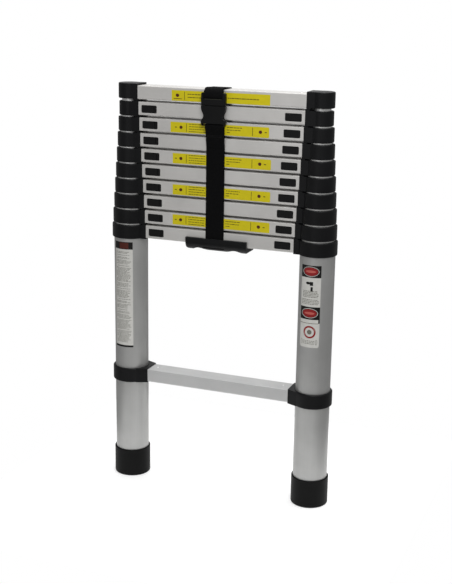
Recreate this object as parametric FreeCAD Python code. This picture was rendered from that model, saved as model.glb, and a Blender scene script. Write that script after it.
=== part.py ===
import FreeCAD, Part
import math
import os

# Telescoping ladder, stowed. Eleven rungs: one fixed to the base stiles, ten in the stack.
# Frame: X along the rungs, Y from the climbing side to the back, Z up.
# The origin is on the floor, midway between the two feet. All sizes are in millimetres.

# ---------------------------------------------------------------- driving dimensions
SECTIONS = 10                  # telescoping sections; section 1 is the base
STILE_X = 195.5                # stile axis from the middle of the ladder
RUNG_SPACING = 300.0           # rung to rung when extended
STACK_PITCH = 30.2             # rung to rung when stowed
FIXED_RUNG_Z = 222.0           # centre of the rung that never moves

BASE_TUBE_R = 33.8             # outer radius of the widest tube
TUBE_STEP = 2.0                # each section's tube radius is this much less
TUBE_WALL = 1.5
TUBE_BELOW_RUNG = 342.0        # sliding tube below its own rung centre

RUNG_DEPTH = 40.0
RUNG_HEIGHT = 26.0
RUNG_WALL = 1.5
RUNG_CORNER_R = 2.0
RUNG_GROWTH = 1.82             # each section's rung is this much longer at each end
FIXED_RUNG_HALF = 151.0        # visible half length of the fixed rung
FIRST_RUNG_HALF = 153.5        # visible half length of section 1's rung
PUNCH_R = 6.0                  # ball punch that pins the rung to the moulding inside it
PUNCH_DEPTH = 1.3
PUNCH_FROM_END = 15.5

COLLAR_WALL = 3.4
COLLAR_RISE = 12.6             # collar ring above its rung centre
COLLAR_DROP = 15.0             # collar ring below its rung centre
COLLAR_LIP = 3.0               # top lip that hides the tube end and guides the next tube
COLLAR_RIM_R = 2.0
SPACER_EDGE_R = 1.2
GUIDE_GAP = 0.35               # lip to the tube that slides in it
SEAT_GAP = 0.05                # moulding to the tube it is pressed on
SPACER_WIDTH = 8.0             # inner edge of a collar, where stowed sections rest
SECTION_GAP = 0.4              # left between stowed spacers

SPIGOT_LENGTH = 52.0           # moulding inside the rung
SPIGOT_GAP = 0.1
SPIGOT_CORNER_R = 0.6
BUSH_GAP = 0.3                 # end bush to the tube around it
BUSH_FLANGE = 4.0
BUSH_SLEEVE = 18.0
BUSH_WALL = 2.0
VENT_R = 1.5                   # air brake hole in the end bush

PIN_R = 4.0                    # lock pin
PIN_GAP = 0.1                  # pin in the collar
PIN_SEAT_GAP = 0.02            # pin in its slide
PIN_SEAT = 18.0                # pin's inner end from the rung end
PIN_HOLE_R = 4.4               # lock holes in the tubes
PIN_SHORT_OF_TUBE = 0.3        # pin tip to the tube it rides on when stowed
LOCK_TRAVEL = 6.5
WINDOW_FROM_END = 6.0
WINDOW_LENGTH = 32.6
WINDOW_HEIGHT = 15.0
WINDOW_DROP = 0.7              # window centre below the rung centre
WINDOW_CORNER_R = 2.5
SLIDE_LOW = 10.5               # lock slide below the rung centre
SLIDE_HIGH = 8.8               # lock slide above the rung centre
SLIDE_THICKNESS = 3.0
SLIDE_GAP = 0.3                # slide to the rung wall and the cavity
SLIDE_OVERLAP = 2.0            # slide behind the rung wall, past the window's inner edge
SLIDE_FROM_END = 3.5           # slide's outer edge from the rung end
CAVITY_FROM_END = 3.2          # cavity's outer end from the rung end
CAVITY_BACK_Y = 7.0
CARRIAGE_BACK_Y = 6.0          # block on the slide that holds the pin
CARRIAGE_FROM_END = 8.0
CARRIAGE_WALL = 2.0            # round the pin
PAD_MARGIN = 1.6               # thumb pad to the window's edge
PAD_CORNER_R = 1.5
GRIP_MARGIN = 1.4              # grip grooves to the pad's edge
GRIP_STEPS = (-2, -1, 0, 1, 2)
GRIP_PITCH = 3.6
GRIP_HALF_WIDTH = 0.5
GRIP_DEPTH = 0.4

FOOT_R = 36.8
FOOT_HEIGHT = 57.3
FOOT_SOLE = 6.0
FOOT_SOLE_R = 3.0              # rounding round the sole
FOOT_RIM_R = 1.0               # rounding round the cup's rim
FOOT_GROOVES_Y = (-24.0, -12.0, 12.0, 24.0)
FOOT_GROOVE_HALF = 1.5
FOOT_GROOVE_DEPTH = 2.0
BRACKET_R = 38.2
BRACKET_HEIGHT = 29.0
BRACKET_FLARE_HALF = 30.0      # half depth where the flare leaves the ring
BRACKET_LIP = 0.6              # flare beyond the rung's front and back
CAP_R = 22.4
CAP_RISE = 3.8                 # top cap above its rung
CAP_DROP = 12.8                # top cap below its rung centre

STRAP_X = -6.5                 # middle of the front webbing
STRAP_TOP_X = -9.4             # middle of the webbing over the top rung
STRAP_WIDTH = 37.6
STRAP_THICKNESS = 1.6
STRAP_GAP = 0.6                # webbing to the rungs
STRAP_BEND_R = 3.6
STRAP_TUCK = 3.5               # webbing's ends below the first rung's lower face, in the handle
LOOP_LOW_Z = 789.9             # webbing's loop round the buckle's bar
LOOP_HIGH_Z = 800.4
LOOP_SET_BACK = 0.6            # loop's front behind the buckle's front face
LOOP_HOLE_HALF = 2.2
LOOP_EDGE_R = 2.0

HANDLE_X = -3.0
HANDLE_HALF = 63.1
HANDLE_DEPTH_HALF = 25.6
HANDLE_LIP = 11.9              # lip above the rung's lower face
HANDLE_PROFILE = [(63.1, 6.0), (61.7, 11.0), (57.0, 13.3), (41.0, 8.4), (20.0, 12.4), (0.0, 13.4)]
                               # from the middle, and below the rung's lower face
HANDLE_GRIP_R = 18.0           # rounding of the underside, front and back
HANDLE_EDGE_R = 1.0
HANDLE_SLOT_HALF = 21.8        # strap slots
HANDLE_SLOT_X = -8.0
SCREW_FROM_MIDDLE = 46.0
SCREW_SEAT = 4.5               # screw head's seat below the rung's lower face
SCREW_HEAD_R = 4.6
SCREW_HEAD_HEIGHT = 2.4
SCREW_HEAD_EDGE_R = 1.0
SCREW_HEAD_GAP = 0.5
RECESS_HALF_LENGTH = 2.4       # cross recess in the screw head
RECESS_HALF_WIDTH = 0.5
RECESS_DEPTH = 1.4
SCREW_R = 2.5
SCREW_HOLE_R = 2.7
SCREW_LENGTH = 13.0

BUCKLE_X = -9.2
BUCKLE_HALF = 24.5
BUCKLE_DEPTH = 8.4             # front face to back face
BUCKLE_FROM_STRAP = 0.3        # back face to the webbing behind it
BUCKLE_EDGE_R = 1.2
PLUG_SET_BACK = 0.4            # plug's front face behind the socket's
PLUG_CORNER_R = 3.0
PLUG_TOP_Z = 801.0
PLUG_SHOULDER_Z = 789.4        # top of the plug's closed plate
PLUG_BOTTOM_Z = 777.2
BAR_LOW_Z = 792.8              # cross bar that the webbing loops round
BAR_HIGH_Z = 797.2
BAR_HALF_DEPTH = 1.5
BAR_EDGE_R = 1.2
TONGUE_HALF = 4.5
TONGUE_LOW_Z = 749.0
TONGUE_TIP_R = 2.0
PRONG_HALF_DEPTH = 1.9
PRONG_EDGE_R = 0.6
PRONG_OUTLINE = [(10.5, 777.2), (15.2, 777.2), (16.6, 766.5), (19.4, 763.5), (18.9, 759.0), (18.9, 756.0),
                 (18.2, 752.0), (15.5, 748.5), (12.6, 748.5), (12.6, 760.0), (10.5, 777.2)]
SOCKET_TOP_Z = 776.8
SOCKET_SIDE = [(24.5, 776.8), (24.5, 772.0), (23.2, 766.5), (20.6, 761.5), (19.5, 757.5), (20.6, 754.0),
               (23.7, 750.5), (24.9, 747.0), (24.2, 742.5), (22.6, 739.0)]
CAVITY_HALF = 17.6             # room for the prongs
CAVITY_LOW_Z = 746.5
CAVITY_HALF_DEPTH = 2.3
SIDE_WINDOW_LOW_Z = 751.0
SIDE_WINDOW_HIGH_Z = 765.5
SOCKET_SLOT_HALF = 21.6        # where the webbing leaves the socket
SOCKET_SLOT_LOW_Z = 741.0
SOCKET_SLOT_HIGH_Z = 743.6

# ---------------------------------------------------------------- derived dimensions
FIRST_STACK_Z = FIXED_RUNG_Z + RUNG_SPACING
RUNG_HALF_DEPTH = RUNG_DEPTH / 2
RUNG_HALF_HEIGHT = RUNG_HEIGHT / 2
SPACER_RISE = STACK_PITCH - SECTION_GAP - COLLAR_DROP
STRAP_INNER_Y = RUNG_HALF_DEPTH + STRAP_GAP
STRAP_OUTER_Y = STRAP_INNER_Y + STRAP_THICKNESS
STRAP_FOOT_Z = FIRST_STACK_Z - RUNG_HALF_HEIGHT - STRAP_TUCK
BUCKLE_BACK_Y = -STRAP_OUTER_Y - BUCKLE_FROM_STRAP
BUCKLE_FRONT_Y = BUCKLE_BACK_Y - BUCKLE_DEPTH
BUCKLE_MID_Y = (BUCKLE_BACK_Y + BUCKLE_FRONT_Y) / 2
CLEAR = 1.0                    # how far cutting solids run past the face they cut

X_AXIS = FreeCAD.Vector(1, 0, 0)
Y_AXIS = FreeCAD.Vector(0, 1, 0)
Z_AXIS = FreeCAD.Vector(0, 0, 1)


def rung_z(section):
    """Height of a stacked rung's centre."""
    return FIRST_STACK_Z + STACK_PITCH * (section - 1)


def tube_r(section):
    """Outer radius of a section's tubes."""
    return BASE_TUBE_R - TUBE_STEP * (section - 1)


def rung_half(section):
    """Visible half length of a stacked rung; it grows as the tubes get thinner."""
    return FIRST_RUNG_HALF + RUNG_GROWTH * (section - 1)


# ---------------------------------------------------------------- helpers
def box(x_low, x_high, y_low, y_high, z_low, z_high):
    """Box between two corners."""
    corner = FreeCAD.Vector(x_low, y_low, z_low)
    return Part.makeBox(x_high - x_low, y_high - y_low, z_high - z_low, corner)


def upright(radius, x, z_low, z_high):
    """Vertical cylinder on a stile axis."""
    return Part.makeCylinder(radius, z_high - z_low, FreeCAD.Vector(x, 0, z_low), Z_AXIS)


def crosswise(radius, x_low, x_high, z):
    """Cylinder along X in the middle plane of the ladder."""
    return Part.makeCylinder(radius, x_high - x_low, FreeCAD.Vector(x_low, 0, z), X_AXIS)


def edges_along(shape, axis):
    """Straight edges that run along an axis."""
    found = []
    for edge in shape.Edges:
        straight = isinstance(edge.Curve, Part.Line)
        if straight and abs(edge.tangentAt(edge.FirstParameter).dot(axis)) > 0.999:
            found.append(edge)
    return found


def rounded_box(x_low, x_high, y_low, y_high, z_low, z_high, radius, axis):
    """Box with the four edges along one axis rounded."""
    block = box(x_low, x_high, y_low, y_high, z_low, z_high)
    return block.makeFillet(radius, edges_along(block, axis))


def soften_rims(shape, radius, heights):
    """Round the outer circular rims of a turned shape at the given heights."""
    rims = []
    widest = max(edge.Curve.Radius for edge in shape.Edges if isinstance(edge.Curve, Part.Circle))
    for edge in shape.Edges:
        if isinstance(edge.Curve, Part.Circle) and abs(edge.Curve.Radius - widest) < 0.01:
            if min(abs(edge.Curve.Center.z - height) for height in heights) < 0.01:
                rims.append(edge)
    return shape.makeFillet(radius, rims)


def mirrored(shape):
    """The same piece on the other stile."""
    return shape.mirror(FreeCAD.Vector(0, 0, 0), X_AXIS)


def both_sides(*shapes):
    """Right-hand solids with their left-hand twins."""
    solids = []
    for shape in shapes:
        solids.append(shape)
        solids.append(mirrored(shape))
    return Part.makeCompound(solids)


def save(node, shape):
    """One STEP file per sub-part, named after its node."""
    for solid in shape.Solids:
        if not solid.isValid():
            raise ValueError(node + " has an invalid solid")
    shape.exportStep(os.path.join("parts", node + ".step"))


# ---------------------------------------------------------------- tubes, feet and brackets
def tube_pair(section):
    """A section's two tubes, with the holes that the lock pins pass through."""
    radius = tube_r(section)
    centre = rung_z(section)
    top = centre + COLLAR_RISE - COLLAR_LIP
    if section == SECTIONS:
        top = centre + RUNG_HALF_HEIGHT + CAP_RISE - COLLAR_LIP
    bottom = FOOT_SOLE if section == 1 else centre - TUBE_BELOW_RUNG
    tube = upright(radius, STILE_X, bottom, top)
    tube = tube.cut(upright(radius - TUBE_WALL, STILE_X, bottom - CLEAR, top + CLEAR))
    if section < SECTIONS:
        tube = tube.cut(crosswise(PIN_HOLE_R, STILE_X - radius - CLEAR, STILE_X, centre))
    if section > 1:
        hole_z = centre - RUNG_SPACING
        tube = tube.cut(crosswise(PIN_HOLE_R, STILE_X - radius - CLEAR, STILE_X, hole_z))
    return both_sides(tube)


def end_bush(section):
    """Bush at the foot of a sliding tube: guide flange, sleeve and vented floor."""
    outer_bore = tube_r(section - 1) - TUBE_WALL
    own_bore = tube_r(section) - TUBE_WALL
    tube_bottom = rung_z(section) - TUBE_BELOW_RUNG
    bush = upright(outer_bore - BUSH_GAP, STILE_X, tube_bottom - BUSH_FLANGE, tube_bottom)
    sleeve_r = own_bore - SEAT_GAP
    bush = bush.fuse(upright(sleeve_r, STILE_X, tube_bottom, tube_bottom + BUSH_SLEEVE))
    bush = bush.cut(upright(sleeve_r - BUSH_WALL, STILE_X, tube_bottom, tube_bottom + BUSH_SLEEVE + CLEAR))
    return bush.cut(upright(VENT_R, STILE_X, tube_bottom - BUSH_FLANGE - CLEAR, tube_bottom + CLEAR))


def foot_pair():
    """Cup feet with a grooved sole."""
    foot = upright(FOOT_R, STILE_X, 0, FOOT_HEIGHT)
    foot = soften_rims(foot, FOOT_SOLE_R, [0.0])
    foot = soften_rims(foot, FOOT_RIM_R, [FOOT_HEIGHT])
    foot = foot.cut(upright(tube_r(1) + SEAT_GAP, STILE_X, FOOT_SOLE, FOOT_HEIGHT + CLEAR))
    for y in FOOT_GROOVES_Y:
        groove = box(STILE_X - FOOT_R - CLEAR, STILE_X + FOOT_R + CLEAR,
                     y - FOOT_GROOVE_HALF, y + FOOT_GROOVE_HALF, -CLEAR, FOOT_GROOVE_DEPTH)
        foot = foot.cut(groove)
    return both_sides(foot)


def bracket_pair():
    """Clamped mouldings that hold the fixed rung, flared towards it."""
    low = FIXED_RUNG_Z - BRACKET_HEIGHT / 2
    high = FIXED_RUNG_Z + BRACKET_HEIGHT / 2
    rung_end = FIXED_RUNG_HALF
    flare_x = STILE_X - math.sqrt(BRACKET_R ** 2 - BRACKET_FLARE_HALF ** 2)
    end_half = RUNG_HALF_DEPTH + BRACKET_LIP
    corners = [(flare_x, -BRACKET_FLARE_HALF), (rung_end, -end_half), (rung_end, end_half),
               (flare_x, BRACKET_FLARE_HALF), (flare_x, -BRACKET_FLARE_HALF)]
    outline = Part.makePolygon([FreeCAD.Vector(x, y, low) for x, y in corners])
    flare = Part.Face(outline).extrude(Z_AXIS * BRACKET_HEIGHT)
    ring = soften_rims(upright(BRACKET_R, STILE_X, low, high), COLLAR_RIM_R, [low, high])
    spigot = spigot_block(rung_end, FIXED_RUNG_Z)
    bracket = ring.fuse(flare).fuse(spigot)
    bracket = bracket.cut(upright(tube_r(1) + SEAT_GAP, STILE_X, low - CLEAR, high + CLEAR))
    return both_sides(bracket)


def fixed_rung():
    """The rung that stays with the base stiles."""
    rung = rung_profile(FIXED_RUNG_HALF, FIXED_RUNG_Z)
    return cut_dimples(rung, FIXED_RUNG_HALF, FIXED_RUNG_Z)


# ---------------------------------------------------------------- rungs
def rung_profile(half_length, z):
    """Hollow extrusion with rounded edges."""
    outer = rounded_box(-half_length, half_length, -RUNG_HALF_DEPTH, RUNG_HALF_DEPTH,
                        z - RUNG_HALF_HEIGHT, z + RUNG_HALF_HEIGHT, RUNG_CORNER_R, X_AXIS)
    bore_half_depth = RUNG_HALF_DEPTH - RUNG_WALL
    bore_half_height = RUNG_HALF_HEIGHT - RUNG_WALL
    bore = rounded_box(-half_length - CLEAR, half_length + CLEAR, -bore_half_depth, bore_half_depth,
                       z - bore_half_height, z + bore_half_height,
                       RUNG_CORNER_R - RUNG_WALL, X_AXIS)
    return outer.cut(bore)


def cut_dimples(rung, half_length, z):
    """Punch marks above and below, which fix the rung to the moulding inside it."""
    for side in (-1, 1):
        for face in (-1, 1):
            height = z + face * (RUNG_HALF_HEIGHT - PUNCH_DEPTH + PUNCH_R)
            centre = FreeCAD.Vector(side * (half_length - PUNCH_FROM_END), 0, height)
            rung = rung.cut(Part.makeSphere(PUNCH_R, centre))
    return rung


def stacked_rung(section):
    """A section's rung, with a lock window near each end of its front face."""
    half_length = rung_half(section)
    z = rung_z(section)
    rung = cut_dimples(rung_profile(half_length, z), half_length, z)
    if section < SECTIONS:
        outer_x = half_length - WINDOW_FROM_END
        window_z = z - WINDOW_DROP
        window = rounded_box(outer_x - WINDOW_LENGTH, outer_x,
                             -RUNG_HALF_DEPTH - CLEAR, -RUNG_HALF_DEPTH + RUNG_WALL + CLEAR,
                             window_z - WINDOW_HEIGHT / 2, window_z + WINDOW_HEIGHT / 2,
                             WINDOW_CORNER_R, Y_AXIS)
        rung = rung.cut(window).cut(mirrored(window))
    if section == 1:
        for x in handle_screw_places():
            foot = FreeCAD.Vector(x, 0, z - RUNG_HALF_HEIGHT - CLEAR)
            rung = rung.cut(Part.makeCylinder(SCREW_HOLE_R, RUNG_WALL + 2 * CLEAR, foot, Z_AXIS))
    return rung


# ---------------------------------------------------------------- collars and caps
def spigot_block(rung_end, z):
    """Plain core of the moulding that plugs into a rung's end."""
    half_depth = RUNG_HALF_DEPTH - RUNG_WALL - SPIGOT_GAP
    half_height = RUNG_HALF_HEIGHT - RUNG_WALL - SPIGOT_GAP
    return rounded_box(rung_end - SPIGOT_LENGTH, rung_end + CLEAR, -half_depth, half_depth,
                       z - half_height, z + half_height, SPIGOT_CORNER_R, X_AXIS)


def collar(section):
    """Moulding that joins a tube to its rung, guides the next tube and houses the lock."""
    radius = tube_r(section)
    z = rung_z(section)
    rung_end = rung_half(section)
    low = z - COLLAR_DROP
    high = z + COLLAR_RISE
    ring = soften_rims(upright(radius + COLLAR_WALL, STILE_X, low, high), COLLAR_RIM_R, [low, high])
    neck = box(rung_end, STILE_X, -RUNG_HALF_DEPTH, RUNG_HALF_DEPTH, low, high)
    spacer = rounded_box(rung_end, rung_end + SPACER_WIDTH, -RUNG_HALF_DEPTH, RUNG_HALF_DEPTH,
                         low, z + SPACER_RISE, SPACER_EDGE_R, X_AXIS)
    body = ring.fuse(neck).fuse(spacer).fuse(spigot_block(rung_end, z))
    body = body.cut(upright(radius + SEAT_GAP, STILE_X, low - CLEAR, high - COLLAR_LIP))
    body = body.cut(upright(tube_r(section + 1) + GUIDE_GAP, STILE_X, low - CLEAR, high + CLEAR))
    body = body.cut(lock_cavity(rung_end, z))
    return body.cut(crosswise(PIN_R + PIN_GAP, rung_end - PIN_SEAT, STILE_X, z))


def lock_cavity(rung_end, z):
    """Room for the lock slide, open to the front and below."""
    slide_inner_x = rung_end - WINDOW_FROM_END - WINDOW_LENGTH - SLIDE_OVERLAP
    inner_x = slide_inner_x - LOCK_TRAVEL - CLEAR
    return box(inner_x, rung_end - CAVITY_FROM_END, -RUNG_HALF_DEPTH, CAVITY_BACK_Y,
               z - RUNG_HALF_HEIGHT, z + SLIDE_HIGH + SLIDE_GAP)


def top_cap():
    """Closed cap on the thinnest tube, joined to the top rung."""
    radius = tube_r(SECTIONS)
    z = rung_z(SECTIONS)
    rung_end = rung_half(SECTIONS)
    low = z - CAP_DROP
    high = z + RUNG_HALF_HEIGHT + CAP_RISE
    drum = soften_rims(upright(CAP_R, STILE_X, low, high), COLLAR_RIM_R, [low, high])
    neck = rounded_box(rung_end, STILE_X, -RUNG_HALF_DEPTH, RUNG_HALF_DEPTH, low, high,
                       SPACER_EDGE_R, X_AXIS)
    spacer = box(rung_end, rung_end + SPACER_WIDTH, -RUNG_HALF_DEPTH, RUNG_HALF_DEPTH,
                 z - COLLAR_DROP, z)
    body = drum.fuse(neck).fuse(spacer).fuse(spigot_block(rung_end, z))
    return body.cut(upright(radius + SEAT_GAP, STILE_X, z - COLLAR_DROP - CLEAR, high - COLLAR_LIP))


# ---------------------------------------------------------------- locks
def lock_slide(section):
    """Thumb slide in the rung's window, with the spring-loaded pin it carries."""
    z = rung_z(section)
    rung_end = rung_half(section)
    window_outer = rung_end - WINDOW_FROM_END
    window_inner = window_outer - WINDOW_LENGTH
    plate_front = -RUNG_HALF_DEPTH + RUNG_WALL + SLIDE_GAP
    plate_back = plate_front + SLIDE_THICKNESS
    pad_outer = window_outer - PAD_MARGIN
    pad_inner = window_inner + LOCK_TRAVEL + SLIDE_GAP
    pad_front = -RUNG_HALF_DEPTH + SLIDE_GAP
    pad_half_height = WINDOW_HEIGHT / 2 - PAD_MARGIN
    pad_z = z - WINDOW_DROP
    plate = box(window_inner - SLIDE_OVERLAP, rung_end - SLIDE_FROM_END, plate_front, plate_back,
                z - SLIDE_LOW, z + SLIDE_HIGH)
    pad = rounded_box(pad_inner, pad_outer, pad_front, plate_front + CLEAR,
                      pad_z - pad_half_height, pad_z + pad_half_height, PAD_CORNER_R, Y_AXIS)
    carriage_half = PIN_R + CARRIAGE_WALL
    carriage = box(rung_end - PIN_SEAT - CARRIAGE_WALL, rung_end - CARRIAGE_FROM_END,
                   plate_back - CLEAR, CARRIAGE_BACK_Y, z - carriage_half, z + carriage_half)
    slide = plate.fuse(pad).fuse(carriage)
    for step in GRIP_STEPS:
        grip_x = (pad_inner + pad_outer) / 2 + step * GRIP_PITCH
        slide = slide.cut(box(grip_x - GRIP_HALF_WIDTH, grip_x + GRIP_HALF_WIDTH,
                              pad_front - CLEAR, pad_front + GRIP_DEPTH,
                              pad_z - pad_half_height + GRIP_MARGIN, pad_z + pad_half_height - GRIP_MARGIN))
    slide = slide.cut(crosswise(PIN_R + PIN_SEAT_GAP, rung_end - PIN_SEAT, rung_end, z))
    tip = STILE_X - tube_r(section + 1) - PIN_SHORT_OF_TUBE
    pin = crosswise(PIN_R, rung_end - PIN_SEAT, tip, z)
    return Part.makeCompound([slide.removeSplitter(), pin])


# ---------------------------------------------------------------- carrying handle
def handle_screw_places():
    """Positions of the two handle screws along the rung."""
    return [HANDLE_X - SCREW_FROM_MIDDLE, HANDLE_X + SCREW_FROM_MIDDLE]


def handle_outline():
    """Side view of the handle: square shoulders above, three finger lobes below."""
    rung_bottom = rung_z(1) - RUNG_HALF_HEIGHT
    top = rung_bottom + HANDLE_LIP
    lower = []
    for x, drop in HANDLE_PROFILE:
        lower.append(FreeCAD.Vector(HANDLE_X - x, -HANDLE_DEPTH_HALF, rung_bottom - drop))
    for x, drop in reversed(HANDLE_PROFILE[:-1]):
        lower.append(FreeCAD.Vector(HANDLE_X + x, -HANDLE_DEPTH_HALF, rung_bottom - drop))
    curve = Part.BSplineCurve()
    curve.interpolate(lower)
    left_top = FreeCAD.Vector(HANDLE_X - HANDLE_HALF, -HANDLE_DEPTH_HALF, top)
    right_top = FreeCAD.Vector(HANDLE_X + HANDLE_HALF, -HANDLE_DEPTH_HALF, top)
    sides = [Part.makeLine(lower[-1], right_top), Part.makeLine(right_top, left_top),
             Part.makeLine(left_top, lower[0])]
    return Part.Wire([curve.toShape()] + sides)


def outline_edges(shape, y):
    """Edges of a shape that lie in the plane at one depth."""
    found = []
    for edge in shape.Edges:
        if abs(edge.BoundBox.YMin - y) < 0.01 and edge.BoundBox.YLength < 0.01:
            found.append(edge)
    return found


def handle():
    """Channel under the first stacked rung, slotted front and back for the strap."""
    rung_bottom = rung_z(1) - RUNG_HALF_HEIGHT
    top = rung_bottom + HANDLE_LIP
    body = Part.Face(handle_outline()).extrude(Y_AXIS * 2 * HANDLE_DEPTH_HALF)
    below = rung_bottom - HANDLE_PROFILE[-1][1]
    grip = rounded_box(HANDLE_X - HANDLE_HALF - CLEAR, HANDLE_X + HANDLE_HALF + CLEAR, -HANDLE_DEPTH_HALF,
                       HANDLE_DEPTH_HALF, below, top + 2 * HANDLE_GRIP_R, HANDLE_GRIP_R, X_AXIS)
    body = body.common(grip)
    lip_edges = [edge for edge in edges_along(body, X_AXIS) if abs(edge.CenterOfMass.z - top) < 0.01]
    body = body.makeFillet(HANDLE_EDGE_R, lip_edges)
    channel = box(HANDLE_X - HANDLE_HALF - CLEAR, HANDLE_X + HANDLE_HALF + CLEAR,
                  -RUNG_HALF_DEPTH, RUNG_HALF_DEPTH, rung_bottom, top + CLEAR)
    body = body.cut(channel)
    slot_outer = STRAP_OUTER_Y + STRAP_GAP
    below -= CLEAR
    for side in (-1, 1):
        near = side * RUNG_HALF_DEPTH
        far = side * slot_outer
        slot = box(HANDLE_SLOT_X - HANDLE_SLOT_HALF, HANDLE_SLOT_X + HANDLE_SLOT_HALF,
                   min(near, far), max(near, far), below, top + CLEAR)
        body = body.cut(slot)
    for x in handle_screw_places():
        foot = FreeCAD.Vector(x, 0, below)
        body = body.cut(Part.makeCylinder(SCREW_HOLE_R, rung_bottom - below + CLEAR, foot, Z_AXIS))
        counterbore_r = SCREW_HEAD_R + SCREW_HEAD_GAP
        body = body.cut(Part.makeCylinder(counterbore_r, rung_bottom - SCREW_SEAT - below, foot, Z_AXIS))
    return body


def handle_screws():
    """Two pan-head screws from below, through the handle into the rung's lower wall."""
    seat = rung_z(1) - RUNG_HALF_HEIGHT - SCREW_SEAT
    head_low = seat - SCREW_HEAD_HEIGHT
    screws = []
    for x in handle_screw_places():
        head = Part.makeCylinder(SCREW_HEAD_R, SCREW_HEAD_HEIGHT, FreeCAD.Vector(x, 0, head_low), Z_AXIS)
        head = soften_rims(head, SCREW_HEAD_EDGE_R, [head_low])
        screw = head.fuse(Part.makeCylinder(SCREW_R, SCREW_LENGTH, FreeCAD.Vector(x, 0, seat), Z_AXIS))
        for turn in (0, 90):
            recess = box(x - RECESS_HALF_LENGTH, x + RECESS_HALF_LENGTH, -RECESS_HALF_WIDTH,
                         RECESS_HALF_WIDTH, head_low - CLEAR, head_low + RECESS_DEPTH)
            recess.rotate(FreeCAD.Vector(x, 0, 0), Z_AXIS, turn)
            screw = screw.cut(recess)
        screws.append(screw)
    return Part.makeCompound(screws)


# ---------------------------------------------------------------- strap and buckle
def strap_over_rungs():
    """Webbing over the top rung: a sewn loop round the buckle's bar, the top, and the long back leg."""
    left = STRAP_TOP_X - STRAP_WIDTH / 2
    right = STRAP_TOP_X + STRAP_WIDTH / 2
    under = rung_z(SECTIONS) + RUNG_HALF_HEIGHT + STRAP_GAP
    inner_low = STRAP_FOOT_Z - CLEAR
    outer = rounded_box(left, right, -STRAP_OUTER_Y, STRAP_OUTER_Y, inner_low,
                        under + STRAP_THICKNESS, STRAP_BEND_R, X_AXIS)
    inner = box(left - CLEAR, right + CLEAR, -STRAP_INNER_Y, STRAP_INNER_Y, inner_low - CLEAR, under)
    belt = outer.cut(inner)
    beyond = STRAP_OUTER_Y + CLEAR
    belt = belt.cut(box(left - CLEAR, right + CLEAR, 0, beyond, inner_low - CLEAR, STRAP_FOOT_Z))
    belt = belt.cut(box(left - CLEAR, right + CLEAR, -beyond, 0, inner_low - CLEAR, LOOP_LOW_Z))
    loop = rounded_box(left, right, BUCKLE_FRONT_Y + LOOP_SET_BACK, -STRAP_INNER_Y, LOOP_LOW_Z, LOOP_HIGH_Z,
                       LOOP_EDGE_R, X_AXIS)
    hole = box(left - CLEAR, right + CLEAR, BUCKLE_MID_Y - LOOP_HOLE_HALF, BUCKLE_MID_Y + LOOP_HOLE_HALF,
               LOOP_LOW_Z + STRAP_THICKNESS, BAR_HIGH_Z + CLEAR)
    return belt.fuse(loop).cut(hole).removeSplitter()


def strap_front():
    """Webbing from the buckle's socket down the front of the stack to the handle."""
    return box(STRAP_X - STRAP_WIDTH / 2, STRAP_X + STRAP_WIDTH / 2,
               -STRAP_OUTER_Y, -STRAP_INNER_Y, STRAP_FOOT_Z, SOCKET_SLOT_HIGH_Z)


def buckle_plug():
    """Upper half: two wings joined by a plate and a cross bar, and the guide tongue."""
    left = BUCKLE_X - BUCKLE_HALF
    right = BUCKLE_X + BUCKLE_HALF
    front = BUCKLE_FRONT_Y + PLUG_SET_BACK
    frame = rounded_box(left, right, front, BUCKLE_BACK_Y, PLUG_BOTTOM_Z, PLUG_TOP_Z, PLUG_CORNER_R, Y_AXIS)
    frame = frame.makeFillet(BUCKLE_EDGE_R, outline_edges(frame, front))
    slot_left = STRAP_TOP_X - STRAP_WIDTH / 2 - STRAP_GAP
    slot_right = STRAP_TOP_X + STRAP_WIDTH / 2 + STRAP_GAP
    frame = frame.cut(box(slot_left, slot_right, front - CLEAR, 0, PLUG_SHOULDER_Z, PLUG_TOP_Z + CLEAR))
    shoulder = []
    for edge in edges_along(frame, X_AXIS):
        middle = edge.CenterOfMass
        if abs(middle.z - PLUG_SHOULDER_Z) < 0.01 and abs(middle.y - front) < 0.01:
            shoulder.append(edge)
    frame = frame.makeFillet(BUCKLE_EDGE_R, shoulder)
    bar = rounded_box(slot_left - CLEAR, slot_right + CLEAR, BUCKLE_MID_Y - BAR_HALF_DEPTH,
                      BUCKLE_MID_Y + BAR_HALF_DEPTH, BAR_LOW_Z, BAR_HIGH_Z, BAR_EDGE_R, X_AXIS)
    tongue = rounded_box(BUCKLE_X - TONGUE_HALF, BUCKLE_X + TONGUE_HALF, BUCKLE_MID_Y - BAR_HALF_DEPTH,
                         BUCKLE_MID_Y + BAR_HALF_DEPTH, TONGUE_LOW_Z, PLUG_BOTTOM_Z + CLEAR,
                         TONGUE_TIP_R, Y_AXIS)
    return frame.fuse(bar).fuse(tongue).removeSplitter()


def buckle_prongs():
    """The two springy side arms, whose barbs catch in the socket's windows."""
    front = BUCKLE_MID_Y - PRONG_HALF_DEPTH
    arms = []
    for side in (-1, 1):
        points = [FreeCAD.Vector(BUCKLE_X + side * x, front, z) for x, z in PRONG_OUTLINE]
        arm = Part.Face(Part.makePolygon(points)).extrude(Y_AXIS * 2 * PRONG_HALF_DEPTH)
        arms.append(arm.makeFillet(PRONG_EDGE_R, outline_edges(arm, front)))
    return Part.makeCompound(arms)


def socket_outline():
    """Front view of the socket: wide mouth, finger recesses at the windows, flared webbing end."""
    right = [FreeCAD.Vector(BUCKLE_X + x, BUCKLE_FRONT_Y, z) for x, z in SOCKET_SIDE]
    left = [FreeCAD.Vector(BUCKLE_X - x, BUCKLE_FRONT_Y, z) for x, z in reversed(SOCKET_SIDE)]
    return Part.makePolygon(right + left + right[:1])


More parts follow.
